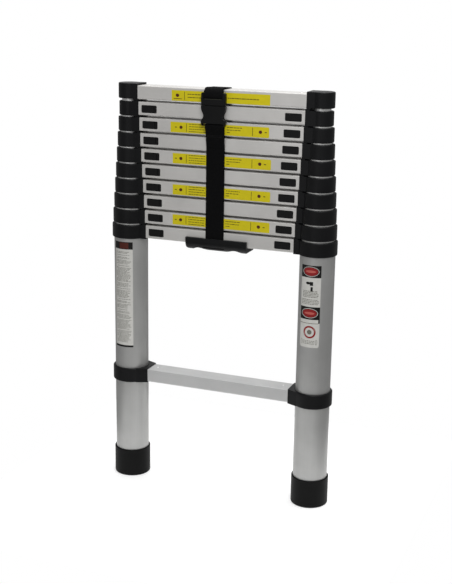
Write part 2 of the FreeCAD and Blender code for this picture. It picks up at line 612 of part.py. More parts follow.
def buckle_socket():
    """Lower half: waisted shell, open at its mouth and at both side windows."""
    body = Part.Face(socket_outline()).extrude(Y_AXIS * BUCKLE_DEPTH)
    body = body.makeFillet(BUCKLE_EDGE_R, outline_edges(body, BUCKLE_FRONT_Y))
    front = BUCKLE_MID_Y - CAVITY_HALF_DEPTH
    back = BUCKLE_MID_Y + CAVITY_HALF_DEPTH
    reach = BUCKLE_HALF + CLEAR
    body = body.cut(box(BUCKLE_X - CAVITY_HALF, BUCKLE_X + CAVITY_HALF, front, back,
                        CAVITY_LOW_Z, SOCKET_TOP_Z + CLEAR))
    body = body.cut(box(BUCKLE_X - reach, BUCKLE_X + reach, front, back,
                        SIDE_WINDOW_LOW_Z, SIDE_WINDOW_HIGH_Z))
    slot_left = BUCKLE_X - SOCKET_SLOT_HALF
    slot_right = BUCKLE_X + SOCKET_SLOT_HALF
    ahead = BUCKLE_FRONT_Y - CLEAR
    body = body.cut(box(slot_left, slot_right, ahead, 0, SOCKET_SLOT_LOW_Z, SOCKET_SLOT_HIGH_Z))
    bottom = SOCKET_SIDE[-1][1] - CLEAR
    for y_low, y_high in ((ahead, BUCKLE_MID_Y - BAR_HALF_DEPTH), (BUCKLE_MID_Y + BAR_HALF_DEPTH, 0)):
        body = body.cut(box(slot_left, slot_right, y_low, y_high, bottom, SOCKET_SLOT_HIGH_Z))
    return body


# ---------------------------------------------------------------- all sub-parts
os.makedirs("parts", exist_ok=True)

save("feet", foot_pair())
save("fixed_rung", fixed_rung())
save("fixed_rung_brackets", bracket_pair())
for number in range(1, SECTIONS + 1):
    label = "{:02d}".format(number)
    save("tubes_" + label, tube_pair(number))
    save("rung_" + label, stacked_rung(number))
    if number == 1:
        save("collars_" + label, both_sides(collar(number)))
    elif number < SECTIONS:
        save("collars_" + label, both_sides(collar(number), end_bush(number)))
    else:
        save("top_caps", both_sides(top_cap(), end_bush(number)))
    if number < SECTIONS:
        save("lock_" + label + "_right", lock_slide(number))
        save("lock_" + label + "_left", mirrored(lock_slide(number)))
save("handle", handle())
save("handle_screws", handle_screws())
save("strap_over_rungs", strap_over_rungs())
save("strap_front", strap_front())
save("buckle_plug", buckle_plug())
save("buckle_prongs", buckle_prongs())
save("buckle_socket", buckle_socket())
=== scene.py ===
import math
import random

import bmesh
import bpy
from mathutils import Matrix, Vector


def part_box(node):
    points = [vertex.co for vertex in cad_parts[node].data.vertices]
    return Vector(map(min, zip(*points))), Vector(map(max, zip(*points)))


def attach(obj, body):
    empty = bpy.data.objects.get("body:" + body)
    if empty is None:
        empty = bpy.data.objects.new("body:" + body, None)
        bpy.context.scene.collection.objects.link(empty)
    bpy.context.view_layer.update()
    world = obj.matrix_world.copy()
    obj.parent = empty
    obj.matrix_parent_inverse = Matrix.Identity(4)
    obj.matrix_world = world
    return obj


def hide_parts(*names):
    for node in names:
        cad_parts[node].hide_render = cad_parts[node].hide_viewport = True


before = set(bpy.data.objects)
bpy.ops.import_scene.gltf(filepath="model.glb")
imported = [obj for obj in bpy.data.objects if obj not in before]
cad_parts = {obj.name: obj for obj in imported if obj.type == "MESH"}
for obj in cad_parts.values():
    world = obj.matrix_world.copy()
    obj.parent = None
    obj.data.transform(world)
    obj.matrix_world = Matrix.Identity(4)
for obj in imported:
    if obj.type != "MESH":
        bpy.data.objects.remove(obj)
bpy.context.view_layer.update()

# Telescoping ladder, stowed. Metres, in the frame's own axes: X along the rungs, Y to the back, Z up.
MM = 0.001
SECTIONS = 10

# Camera: where it stands, its direction in degrees, and its lens in mm on a 36 mm sensor.
CAMERA_PLACE = Vector((0.79431, -2.00573, 0.99015))
CAMERA_AZIMUTH = 21.338
CAMERA_ELEVATION = 15.027
CAMERA_ROLL = 0.856
CAMERA_LENS = 69.83
CAMERA_SENSOR = 36.0

# Studio: soft light from the white surround, and square lights. The top one is high up, so that it lights
# the extended ladder evenly too.
SURROUND_LIGHT = 0.33
MIDDLE = (0.0, 0.0, 0.5)
STACK_TOP = (0.0, 0.0, 0.76)
LIGHTS = (                     # name, place, target, size, watts
    ("top", (0.4, 0.6, 8.0), MIDDLE, 3.9, 480.0),
    ("front", (0.8, -2.4, 1.9), MIDDLE, 1.0, 6.0),
    ("high_front", (0.6, -1.0, 1.6), STACK_TOP, 0.6, 11.0),
    ("low_front", (-0.4, -2.6, 0.6), MIDDLE, 1.0, 3.0),
    ("back_fill", (-1.0, 2.2, 2.2), MIDDLE, 1.6, 8.0),
)
FLOOR_HALF = 0.42

# Webbing. The upper length is looped round the plug's bar. The front one is sewn back on itself through the
# socket's slot, and the stitches lie on the sloping outer face below that slot.
WEB_THICKNESS = 1.6 * MM
WEB_EDGE = 0.7 * MM            # half round selvedge
PLUG_BAR_Z = 795.0 * MM
PLUG_SHOULDER_Z = 788.75 * MM
SOCKET_SLOT_Z = 742.1 * MM
STITCH_ROWS = (718.5 * MM, 721.0 * MM)
STITCH_MARGIN = 3.0 * MM
SEWN_FACE_Z = 712.0 * MM
SEWN_FACE_Y = -24.78 * MM      # at that height
SEWN_FACE_SLOPE = 0.125

# Labels: vinyl stuck on a face, with up to three layers of ink on it, each given by its bottom and top.
VINYL = 0.12 * MM
INK = 0.04 * MM
INK_1 = (VINYL, VINYL + INK)
INK_2 = (VINYL + INK, VINYL + 2 * INK)
INK_3 = (VINYL + 2 * INK, VINYL + 3 * INK)
RUNG_LABELS = (                # section, left end, right end, centre above the rung's own, in mm
    (10, -98.1, 100.3, -2.0),
    (8, -100.3, 99.7, -1.4),
    (6, -95.6, 104.8, -0.7),
    (4, -95.6, 104.8, -1.1),
    (2, -95.6, 104.8, 0.2),
)
RUNG_LABEL_HALF = 9.85 * MM
RUNG_LABEL_CORNER = 2.2 * MM
RULE_HALF = 8 * MM             # thin upright rule across a rung label
STILE_LABEL_LEFT = -22.6 * MM  # along the tube's surface, from its front
STILE_LABEL_RIGHT = 18.2 * MM


def body_of(section):
    """Name of the body that a section's parts ride on."""
    return "base" if section == 1 else "section_%02d" % section


# ---------------------------------------------------------------- camera, light and floor
def make_camera():
    """Camera with the given azimuth, elevation and roll."""
    azimuth = math.radians(CAMERA_AZIMUTH)
    elevation = math.radians(CAMERA_ELEVATION)
    roll = math.radians(CAMERA_ROLL)
    back = Vector((math.sin(azimuth) * math.cos(elevation),
                   -math.cos(azimuth) * math.cos(elevation), math.sin(elevation)))
    level = Vector((math.cos(azimuth), math.sin(azimuth), 0.0))
    upward = back.cross(level)
    right = level * math.cos(roll) + upward * math.sin(roll)
    up = upward * math.cos(roll) - level * math.sin(roll)
    data = bpy.data.cameras.new("camera")
    data.lens = CAMERA_LENS
    data.sensor_width = CAMERA_SENSOR
    camera = bpy.data.objects.new("camera", data)
    bpy.context.scene.collection.objects.link(camera)
    turn = Matrix((right, up, back)).transposed().to_4x4()
    camera.matrix_world = Matrix.Translation(CAMERA_PLACE) @ turn
    bpy.context.scene.camera = camera


def add_area(name, place, target, size, power):
    """Square soft light aimed at a point."""
    data = bpy.data.lights.new(name, "AREA")
    data.energy = power
    data.size = size
    light = bpy.data.objects.new(name, data)
    bpy.context.scene.collection.objects.link(light)
    light.location = place
    light.visible_camera = False
    light.rotation_mode = "QUATERNION"
    light.rotation_quaternion = (Vector(target) - Vector(place)).to_track_quat("-Z", "Y")


def make_studio():
    """White surround, soft lights and a pale floor."""
    scene = bpy.context.scene
    scene.view_settings.view_transform = "Standard"
    world = bpy.data.worlds.new("studio")
    scene.world = world
    world.use_nodes = True
    nodes = world.node_tree.nodes
    links = world.node_tree.links
    nodes.clear()
    output = nodes.new("ShaderNodeOutputWorld")
    seen = nodes.new("ShaderNodeBackground")
    lighting = nodes.new("ShaderNodeBackground")
    mixer = nodes.new("ShaderNodeMixShader")
    path = nodes.new("ShaderNodeLightPath")
    seen.inputs["Color"].default_value = (1.0, 1.0, 1.0, 1.0)
    seen.inputs["Strength"].default_value = 1.0
    lighting.inputs["Color"].default_value = (1.0, 1.0, 1.0, 1.0)
    lighting.inputs["Strength"].default_value = SURROUND_LIGHT
    links.new(path.outputs["Is Camera Ray"], mixer.inputs["Fac"])
    links.new(lighting.outputs["Background"], mixer.inputs[1])
    links.new(seen.outputs["Background"], mixer.inputs[2])
    links.new(mixer.outputs["Shader"], output.inputs["Surface"])
    for name, place, target, size, power in LIGHTS:
        add_area(name, place, target, size, power)
    make_floor()


def make_floor():
    """Square of pale floor under the ladder."""
    mesh = bpy.data.meshes.new("floor")
    corners = [(x * FLOOR_HALF, y * FLOOR_HALF, 0.0) for x, y in ((-1, -1), (1, -1), (1, 1), (-1, 1))]
    mesh.from_pydata(corners, [], [(0, 1, 2, 3)])
    floor = bpy.data.objects.new("floor", mesh)
    bpy.context.scene.collection.objects.link(floor)
    mesh.materials.append(floor_material())


def floor_material():
    """Pale matt finish."""
    material, shader, _, _ = new_material("studio_floor")
    shader.inputs["Base Color"].default_value = (0.6, 0.6, 0.6, 1.0)
    shader.inputs["Roughness"].default_value = 0.9
    shader.inputs["Specular IOR Level"].default_value = 0.1
    shader.inputs["Emission Color"].default_value = (1.0, 1.0, 1.0, 1.0)
    shader.inputs["Emission Strength"].default_value = 0.5
    return material


# ---------------------------------------------------------------- materials
def new_material(name):
    """Empty principled material: the material, its shader, and its node collections."""
    material = bpy.data.materials.new(name)
    material.use_nodes = True
    nodes = material.node_tree.nodes
    links = material.node_tree.links
    shader = nodes["Principled BSDF"]
    return material, shader, nodes, links


def object_position(nodes, links, scale):
    """Position on the object, stretched by a scale per axis."""
    place = nodes.new("ShaderNodeTexCoord")
    stretch = nodes.new("ShaderNodeMapping")
    stretch.inputs["Scale"].default_value = scale
    links.new(place.outputs["Object"], stretch.inputs["Vector"])
    return stretch.outputs["Vector"]


def noise(nodes, links, vector, scale, detail, roughness=0.5):
    """Noise texture's factor output."""
    texture = nodes.new("ShaderNodeTexNoise")
    texture.inputs["Scale"].default_value = scale
    texture.inputs["Detail"].default_value = detail
    texture.inputs["Roughness"].default_value = roughness
    links.new(vector, texture.inputs["Vector"])
    return texture.outputs["Fac"]


def ramp(nodes, links, value, stops):
    """Colour ramp with (position, colour) stops."""
    node = nodes.new("ShaderNodeValToRGB")
    elements = node.color_ramp.elements
    while len(elements) < len(stops):
        elements.new(0.5)
    for element, (position, colour) in zip(elements, stops):
        element.position = position
        element.color = (*colour, 1.0)
    links.new(value, node.inputs["Fac"])
    return node.outputs["Color"]


def spread(nodes, links, value, low, high):
    """A 0 to 1 value mapped to low to high."""
    node = nodes.new("ShaderNodeMapRange")
    node.inputs["To Min"].default_value = low
    node.inputs["To Max"].default_value = high
    links.new(value, node.inputs["Value"])
    return node.outputs["Result"]


def bump(nodes, links, height, strength, distance):
    """Normal bumped by a height value."""
    node = nodes.new("ShaderNodeBump")
    node.inputs["Strength"].default_value = strength
    node.inputs["Distance"].default_value = distance
    links.new(height, node.inputs["Height"])
    return node.outputs["Normal"]


def metal(name, shade, along, roughness, metallic):
    """Metal with fine lines along one axis (0 to 2), faint clouding and a few handling marks."""
    material, shader, nodes, links = new_material(name)
    stretched = [900.0, 900.0, 900.0]
    stretched[along] = 6.0
    lines = noise(nodes, links, object_position(nodes, links, stretched), 1.0, 3.0, 0.6)
    clouds = noise(nodes, links, object_position(nodes, links, (1.0, 1.0, 1.0)), 14.0, 3.0)
    marks = noise(nodes, links, object_position(nodes, links, (1.0, 1.0, 1.0)), 260.0, 2.0, 0.4)
    tint = nodes.new("ShaderNodeMix")
    tint.data_type = "RGBA"
    tint.blend_type = "MULTIPLY"
    tint.inputs["Factor"].default_value = 1.0
    dark = tuple(0.95 * value for value in shade)
    light = tuple(min(1.0, 1.05 * value) for value in shade)
    links.new(ramp(nodes, links, clouds, [(0.35, dark), (0.65, light)]), tint.inputs["A"])
    links.new(ramp(nodes, links, lines, [(0.25, (0.94, 0.94, 0.94)), (0.75, (1.0, 1.0, 1.0))]),
              tint.inputs["B"])
    links.new(tint.outputs["Result"], shader.inputs["Base Color"])
    shader.inputs["Metallic"].default_value = metallic
    links.new(spread(nodes, links, marks, roughness - 0.05, roughness + 0.08), shader.inputs["Roughness"])
    links.new(bump(nodes, links, lines, 0.25, 0.00006), shader.inputs["Normal"])
    return material


def moulded(name, shade, roughness, grain, depth, gloss):
    """Moulded plastic or rubber: fine spark grain, with slight drift in colour and gloss."""
    material, shader, nodes, links = new_material(name)
    place = object_position(nodes, links, (1.0, 1.0, 1.0))
    fine = noise(nodes, links, place, grain, 3.0, 0.65)
    drift = noise(nodes, links, place, 22.0, 2.0)
    dark = tuple(0.8 * value for value in shade)
    light = tuple(1.25 * value for value in shade)
    links.new(ramp(nodes, links, drift, [(0.3, dark), (0.7, light)]), shader.inputs["Base Color"])
    links.new(spread(nodes, links, drift, roughness - 0.06, roughness + 0.06), shader.inputs["Roughness"])
    links.new(bump(nodes, links, fine, 0.5, depth), shader.inputs["Normal"])
    shader.inputs["Specular IOR Level"].default_value = gloss
    return material


def webbing_material():
    """Narrow-woven polyester: rows of fine chevrons along the ribbon, with a soft sheen."""
    material, shader, nodes, links = new_material("woven_webbing")
    place = nodes.new("ShaderNodeUVMap")
    place.uv_map = "weave"
    tilts = []
    for turn in (0.42, -0.42):
        stretch = nodes.new("ShaderNodeMapping")
        stretch.inputs["Rotation"].default_value = (0.0, 0.0, turn)
        links.new(place.outputs["UV"], stretch.inputs["Vector"])
        wave = nodes.new("ShaderNodeTexWave")
        wave.wave_type = "BANDS"
        wave.bands_direction = "Y"
        wave.inputs["Scale"].default_value = 0.314
        wave.inputs["Distortion"].default_value = 0.5
        wave.inputs["Detail"].default_value = 1.0
        links.new(stretch.outputs["Vector"], wave.inputs["Vector"])
        tilts.append(wave.outputs["Fac"])
    stripes = nodes.new("ShaderNodeTexWave")
    stripes.wave_type = "BANDS"
    stripes.bands_direction = "X"
    stripes.wave_profile = "SIN"
    stripes.inputs["Scale"].default_value = 0.105
    stripes.inputs["Distortion"].default_value = 0.0
    links.new(place.outputs["UV"], stripes.inputs["Vector"])
    side = nodes.new("ShaderNodeMath")
    side.operation = "GREATER_THAN"
    side.inputs[1].default_value = 0.5
    links.new(stripes.outputs["Fac"], side.inputs[0])
    weave = nodes.new("ShaderNodeMix")
    weave.data_type = "FLOAT"
    links.new(side.outputs["Value"], weave.inputs["Factor"])
    links.new(tilts[0], weave.inputs["A"])
    links.new(tilts[1], weave.inputs["B"])
    links.new(ramp(nodes, links, weave.outputs["Result"],
                   [(0.0, (0.0012, 0.0012, 0.0013)), (0.8, (0.0045, 0.0045, 0.005))]),
              shader.inputs["Base Color"])
    shader.inputs["Roughness"].default_value = 0.8
    shader.inputs["Sheen Weight"].default_value = 0.004
    shader.inputs["Specular IOR Level"].default_value = 0.06
    shader.inputs["Sheen Roughness"].default_value = 0.5
    links.new(bump(nodes, links, weave.outputs["Result"], 0.7, 0.0003), shader.inputs["Normal"])
    return material


def vinyl(name, shade, roughness):
    """Printed vinyl: even ink with slight mottling and a fine orange peel."""
    material, shader, nodes, links = new_material(name)
    place = object_position(nodes, links, (1.0, 1.0, 1.0))
    mottle = noise(nodes, links, place, 120.0, 2.0)
    peel = noise(nodes, links, place, 900.0, 1.0)
    dark = tuple(0.93 * value for value in shade)
    links.new(ramp(nodes, links, mottle, [(0.3, dark), (0.7, shade)]), shader.inputs["Base Color"])
    links.new(spread(nodes, links, mottle, roughness - 0.05, roughness + 0.05), shader.inputs["Roughness"])
    links.new(bump(nodes, links, peel, 0.15, 0.00005), shader.inputs["Normal"])
    shader.inputs["Specular IOR Level"].default_value = 0.25
    return material


METALS = {                     # name, colour, axis of its lines, roughness, metallic
    "tube": ("anodised_tube", (0.435, 0.435, 0.427), 2, 0.42, 0.7),
    # inner tubes lighter than the base tube: painted highlight on the slivers of tube seen between the
    # collars
    "inner_tube": ("inner_tube_painted_highlight", (0.72, 0.72, 0.71), 2, 0.34, 0.6),
    "rung": ("extruded_rung", (0.63, 0.618, 0.598), 0, 0.45, 0.6),
    "low_rung": ("extruded_fixed_rung", (0.55, 0.552, 0.55), 0, 0.45, 0.6),
    "steel": ("zinc_plated_steel", (0.6, 0.6, 0.6), 2, 0.3, 1.0),
}
MOULDED = {                    # name, colour, roughness, grain per metre, grain depth, gloss
    "nylon": ("moulded_nylon", (0.0035, 0.0037, 0.0042), 0.42, 900.0, 0.00012, 0.18),
    "rubber": ("foot_rubber", (0.0032, 0.0033, 0.0033), 0.55, 700.0, 0.00018, 0.12),
    "lock": ("thumb_slide_plastic", (0.0035, 0.0035, 0.0037), 0.5, 800.0, 0.00015, 0.2),
    "buckle": ("buckle_acetal", (0.0026, 0.0026, 0.0028), 0.36, 1200.0, 0.00005, 0.16),
    # lighter colour of the bead on the plug's shoulder: a painted highlight along that edge
    "shoulder_highlight": ("buckle_shoulder_painted_highlight", (0.034, 0.036, 0.026), 0.45, 1200.0, 0.00005, 0.3),
    "thread": ("sewing_thread", (0.012, 0.012, 0.013), 0.6, 2000.0, 0.00003, 0.2),
}
PRINTED = {                    # name, colour, roughness
    "yellow": ("yellow_vinyl", (0.60, 0.51, 0.005), 0.5),
    "white": ("white_vinyl", (0.60, 0.595, 0.565), 0.5),
    "black": ("black_ink", (0.004, 0.0038, 0.0036), 0.5),
    "red": ("red_ink", (0.26, 0.014, 0.016), 0.45),
    "grey": ("grey_ink", (0.16, 0.155, 0.13), 0.5),
    "olive": ("dark_ink_on_yellow", (0.07, 0.058, 0.006), 0.5),
    "maroon": ("dark_red_ink", (0.075, 0.014, 0.008), 0.5),
    "pink": ("light_red_ink", (0.50, 0.11, 0.09), 0.45),
}
MATERIALS = {}


def make_materials():
    """Every finish on the ladder."""
    for maker, finishes in ((metal, METALS), (moulded, MOULDED), (vinyl, PRINTED)):
        for key, settings in finishes.items():
            MATERIALS[key] = maker(*settings)
    MATERIALS["webbing"] = webbing_material()


def finish_node(node, key):
    """Gives a CAD node its material."""
    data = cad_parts[node].data
    data.materials.clear()
    data.materials.append(MATERIALS[key])


def finish_cad_nodes():
    """Materials for every CAD node."""
    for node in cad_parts:
        if node == "tubes_01":
            finish_node(node, "tube")
        elif node.startswith("tubes_"):
            finish_node(node, "inner_tube")
        elif node == "fixed_rung":
            finish_node(node, "low_rung")
        elif node.startswith("rung_"):
            finish_node(node, "rung")
        elif node.startswith("lock_"):
            finish_node(node, "lock")
        elif node == "feet":
            finish_node(node, "rubber")
        elif node == "handle_screws":
            finish_node(node, "steel")
        elif node.startswith("strap_"):
            finish_node(node, "webbing")
        elif node.startswith("buckle_"):
            finish_node(node, "buckle")
        else:
            finish_node(node, "nylon")


# ---------------------------------------------------------------- built pieces
def add_piece(name, points, faces, key, body, smooth=False):
    """Mesh piece with one material, riding on a body."""
    mesh = bpy.data.meshes.new(name)
    mesh.from_pydata(points, [], faces)
    mesh.validate()
    tidy = bmesh.new()
    tidy.from_mesh(mesh)
    bmesh.ops.recalc_face_normals(tidy, faces=tidy.faces)
    tidy.to_mesh(mesh)
    tidy.free()
    mesh.materials.append(MATERIALS[key])
    for polygon in mesh.polygons:
        polygon.use_smooth = smooth
    piece = bpy.data.objects.new(name, mesh)
    bpy.context.scene.collection.objects.link(piece)
    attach(piece, body)
    return piece


# ---------------------------------------------------------------- webbing
def smooth_path(corners, step):
    """Catmull-Rom curve through (y, z) corners, with points about a step apart."""
    padded = [corners[0]] + list(corners) + [corners[-1]]
    path = []
    for i in range(1, len(padded) - 2):
        before, here, after, beyond = (Vector(corner) for corner in padded[i - 1:i + 3])
        count = max(2, int((after - here).length / step))
        for j in range(count):
            t = j / count
            path.append(0.5 * (2 * here + (after - before) * t
                               + (2 * before - 5 * here + 4 * after - beyond) * t * t
                               + (3 * here - before - 3 * after + beyond) * t ** 3))
    path.append(Vector(corners[-1]))
    return path


def add_webbing(name, corners, left, right, body):
    """Flat ribbon with rounded selvedges along a path in the YZ plane, unrolled in mm for the weave."""
    path = smooth_path(corners, 1.5 * MM)
    half = WEB_THICKNESS / 2
    columns = 24
    section = []
    for j in range(columns + 1):
        x = left + WEB_EDGE + (right - left - 2 * WEB_EDGE) * j / columns
        section.append((x, half))
    for turn in (60, 30, 0, -30, -60):
        angle = math.radians(turn)
        section.append((right - WEB_EDGE + WEB_EDGE * math.cos(angle), half * math.sin(angle)))
    for j in range(columns + 1):
        x = right - WEB_EDGE - (right - left - 2 * WEB_EDGE) * j / columns
        section.append((x, -half))
    for turn in (240, 210, 180, 150, 120):
        angle = math.radians(turn)
        section.append((left + WEB_EDGE + WEB_EDGE * math.cos(angle), half * math.sin(angle)))
    count = len(section)
    points = []
    lengths = []
    travelled = 0.0
    for i, place in enumerate(path):
        ahead = path[min(i + 1, len(path) - 1)]
        behind = path[max(i - 1, 0)]
        along = (ahead - behind).normalized()
        outward = Vector((along.y, -along.x))
        if i:
            travelled += (place - path[i - 1]).length
        lengths.append(travelled)
        for x, height in section:
            spot = place + outward * height
            points.append((x, spot.x, spot.y))
    faces = []
    for i in range(len(path) - 1):
        for j in range(count):
            k = (j + 1) % count
            faces.append((i * count + j, i * count + k, (i + 1) * count + k, (i + 1) * count + j))
    faces.append(tuple(range(count)))
    faces.append(tuple(range((len(path) - 1) * count, len(path) * count)))
    piece = add_piece(name, points, faces, "webbing", body, smooth=True)
    layer = piece.data.uv_layers.new(name="weave")
    for polygon in piece.data.polygons:
        for loop in polygon.loop_indices:
            vertex = piece.data.loops[loop].vertex_index
            across = points[vertex][0] / MM
            layer.data[loop].uv = (across, lengths[vertex // count] / MM)
    return piece


def strap_corners_over():
    """Path of the upper webbing: up the back, over the top rung, and round the plug's bar."""
    low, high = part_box("strap_over_rungs")
    back = high.y - WEB_THICKNESS / 2
    top = high.z - WEB_THICKNESS / 2
    up_back = [(back, low.z), (back, low.z + 0.1), (back, top - 60 * MM), (back, top - 8 * MM),
               (back - 1.0 * MM, top - 3.0 * MM), (back - 4.2 * MM, top - 0.3 * MM), (back - 9 * MM, top)]
    over_rung = [(0.0, 0.5), (-12.0, 1.3), (-20.5, 1.0), (-25.6, -1.0), (-28.8, -5.4)]
    round_bar = [(-29.9, 2.5), (-30.2, -1.0), (-29.4, -3.8), (-26.9, -4.7), (-24.4, -3.4), (-23.6, 0.0),
                 (-23.4, 4.5), (-22.2, 8.6), (-21.6, 10.2)]
    return (up_back + [(y * MM, top + up * MM) for y, up in over_rung]
            + [(y * MM, PLUG_BAR_Z + up * MM) for y, up in round_bar])


def strap_corners_front():
    """Path of the front webbing: sewn back on itself through the socket, then down to the handle."""
    low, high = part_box("strap_front")
    flat = high.y - WEB_THICKNESS / 2
    round_slot = [(-22.7, -28.0), (-23.2, -18.0), (-23.9, -8.0), (-24.3, -2.6), (-25.6, -0.2), (-26.9, 0.0),
                  (-28.3, -0.6), (-29.4, -3.0), (-29.0, -7.0), (-26.8, -15.0), (-25.0, -22.0),
                  (-24.0, -30.0), (-22.6, -37.0)]
    return ([(y * MM, SOCKET_SLOT_Z + up * MM) for y, up in round_slot]
            + [(flat - 0.4 * MM, SOCKET_SLOT_Z - 44 * MM), (flat, SOCKET_SLOT_Z - 60 * MM),
               (flat, low.z + 40 * MM), (flat, low.z)])


def add_stitches(x_low, x_high):
    """Rows of short stitches that sew the front webbing back on itself, each a small raised thread."""
    points = []
    faces = []
    pitch = 2.6 * MM
    length = 1.9 * MM
    half = 0.28 * MM
    rise = 0.30 * MM
    for z in STITCH_ROWS:
        y = SEWN_FACE_Y - (z - SEWN_FACE_Z) * SEWN_FACE_SLOPE
        x = x_low
        while x + length < x_high:
            first = len(points)
            for end in (x, x + length):
                for dy, dz in ((0.0, -half), (-rise, -half / 2), (-rise, half / 2), (0.0, half)):
                    points.append((end, y + dy, z + dz))
            for j in range(4):
                k = (j + 1) % 4
                faces.append((first + j, first + k, first + 4 + k, first + 4 + j))
            faces.append((first, first + 1, first + 2, first + 3))
            faces.append((first + 4, first + 5, first + 6, first + 7))
            x += pitch
    add_piece("webbing_stitches", points, faces, "thread", "front_strap")


def make_straps():
    """Both lengths of webbing, in place of their plain CAD solids, and the front one's stitches."""
    low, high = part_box("strap_over_rungs")
    over = add_webbing("webbing_over_rungs", strap_corners_over(), low.x, high.x, "section_10")
    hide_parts("strap_over_rungs")
    low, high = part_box("strap_front")
    front = add_webbing("webbing_front", strap_corners_front(), low.x, high.x, "front_strap")
    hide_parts("strap_front")
    add_stitches(low.x + STITCH_MARGIN, high.x - STITCH_MARGIN)


def add_painted_highlight_bead():
    """Pale rounded bead along the plug's shoulder; its light colour is a painted highlight on the
    shoulder's edge.
    """
    plug_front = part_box("buckle_plug")[0].y
    web_low, web_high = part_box("strap_over_rungs")
    inset = 0.6 * MM
    half_depth = 0.62 * MM
    half_height = 0.72 * MM
    centre_y = plug_front + 0.75 * MM
    sides = 12
    points = []
    faces = []
    for x in (web_low.x + inset, web_high.x - inset):
        for i in range(sides):
            angle = 2 * math.pi * i / sides
            points.append((x, centre_y + half_depth * math.cos(angle),
                           PLUG_SHOULDER_Z + half_height * math.sin(angle)))
    for i in range(sides):
        k = (i + 1) % sides
        faces.append((i, k, sides + k, sides + i))
    faces.append(tuple(range(sides)))
    faces.append(tuple(range(sides, 2 * sides)))
    add_piece("plug_painted_highlight", points, faces, "shoulder_highlight", "section_10")


# ---------------------------------------------------------------- labels
class Sheet:
    """Thin shapes laid on a flat face or round a tube. Across and up are along the surface."""

    def __init__(self, centre_x, face_y, radius=None):
        self.centre_x = centre_x
        self.face_y = face_y
        self.radius = radius
        self.points = []
        self.faces = []

    def spot(self, across, up, height):
        """Point on the surface, raised by a height."""
        if self.radius is None:
            return (self.centre_x + across, self.face_y - height, up)
        angle = across / self.radius
        reach = self.radius + height
        return (self.centre_x + reach * math.sin(angle), -reach * math.cos(angle), up)

    def slab(self, start, end, low_of, high_of, bottom, top, step=1.6 * MM):
        """Closed slab between two curves over a run of across."""
        count = max(2, int((end - start) / step))
        first = len(self.points)
        for i in range(count + 1):
            across = start + (end - start) * i / count
            low = low_of(across)
            high = max(high_of(across), low + 0.02 * MM)
            for up, height in ((low, bottom), (high, bottom), (high, top), (low, top)):
                self.points.append(self.spot(across, up, height))
        for i in range(count):
            here = first + 4 * i
            for j in range(4):
                k = (j + 1) % 4
                self.faces.append((here + j, here + k, here + 4 + k, here + 4 + j))
        self.faces.append((first, first + 1, first + 2, first + 3))
        last = first + 4 * count
        self.faces.append((last, last + 1, last + 2, last + 3))

    def block(self, start, end, low, high, bottom, top):
        """Rectangle."""
        step = 3.0 * MM if self.radius is None else 1.6 * MM
        self.slab(start, end, lambda across: low, lambda across: high, bottom, top, step)

    def disc(self, across, up, half_width, half_height, bottom, top):
        """Ellipse."""
        def rise(place):
            share = min(1.0, abs(place - across) / half_width)
            return half_height * math.sqrt(1.0 - share * share)
        self.slab(across - half_width, across + half_width, lambda place: up - rise(place),
                  lambda place: up + rise(place), bottom, top, half_width / 12)

    def ring(self, across, up, half_width, half_height, width, bottom, top):
        """Elliptical ring."""
        count = 36
        first = len(self.points)
        for i in range(count):
            angle = 2 * math.pi * i / count
            for inset, height in ((0.0, bottom), (0.0, top), (width, top), (width, bottom)):
                x = across + (half_width - inset) * math.cos(angle)
                z = up + (half_height - inset) * math.sin(angle)
                self.points.append(self.spot(x, z, height))
        for i in range(count):
            here = first + 4 * i
            there = first + 4 * ((i + 1) % count)
            for j in range(4):
                k = (j + 1) % 4
                self.faces.append((here + j, here + k, there + k, there + j))

    def bars(self, chance, start, end, up, thickness, bottom, top, shortest=2.0 * MM, longest=7.0 * MM):
        """Row of plain bars, like a line of print seen from afar."""
        across = start
        while across < end - shortest:
            length = min(chance.uniform(shortest, longest), end - across)
            self.block(across, across + length, up - thickness / 2, up + thickness / 2, bottom, top)
            across += length + chance.uniform(0.7, 1.3) * MM

    def finish(self, name, key, body, slot):
        """The shapes as one piece."""
        add_piece(name, self.points, self.faces, key, body)


def rounded_ends(start, end, centre, half, corner, round_left, round_right):
    """Lower and upper curves of a rectangle with rounded corners at its ends."""
    def trim(across):
        from_left = across - start if round_left else corner
        from_right = end - across if round_right else corner
        near = min(from_left, from_right)
        if near >= corner:
            return 0.0
        rest = corner - max(near, 0.0)
        return corner - math.sqrt(max(corner * corner - rest * rest, 0.0))
    return (lambda across: centre - half + trim(across)), (lambda across: centre + half - trim(across))


def rung_label(section, start, end, lift, chance):
    """Yellow label on a rung's front face, with generic marks either side of the strap."""
    low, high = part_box("rung_%02d" % section)
    centre = (low.z + high.z) / 2 + lift
    vinyl_sheet, ink, dark_red = (Sheet(0.0, low.y) for _ in range(3))
    top_label = section == SECTIONS
    low_of, high_of = rounded_ends(start, end, centre, RUNG_LABEL_HALF, RUNG_LABEL_CORNER,
                                   False, not top_label)
    vinyl_sheet.slab(start, end, low_of, high_of, 0.0, VINYL, 0.5 * MM)
    if top_label:
        top_label_marks(ink, dark_red, start, end, centre, chance)
    else:
        label_marks(ink, dark_red, centre, chance)
    body = body_of(section)
    name = "rung_label_%02d" % section
    vinyl_sheet.finish(name, "yellow", body, "label_yellow")
    ink.finish(name + "_ink", "olive", body, "label_black")
    dark_red.finish(name + "_spot", "maroon", body, "label_red")


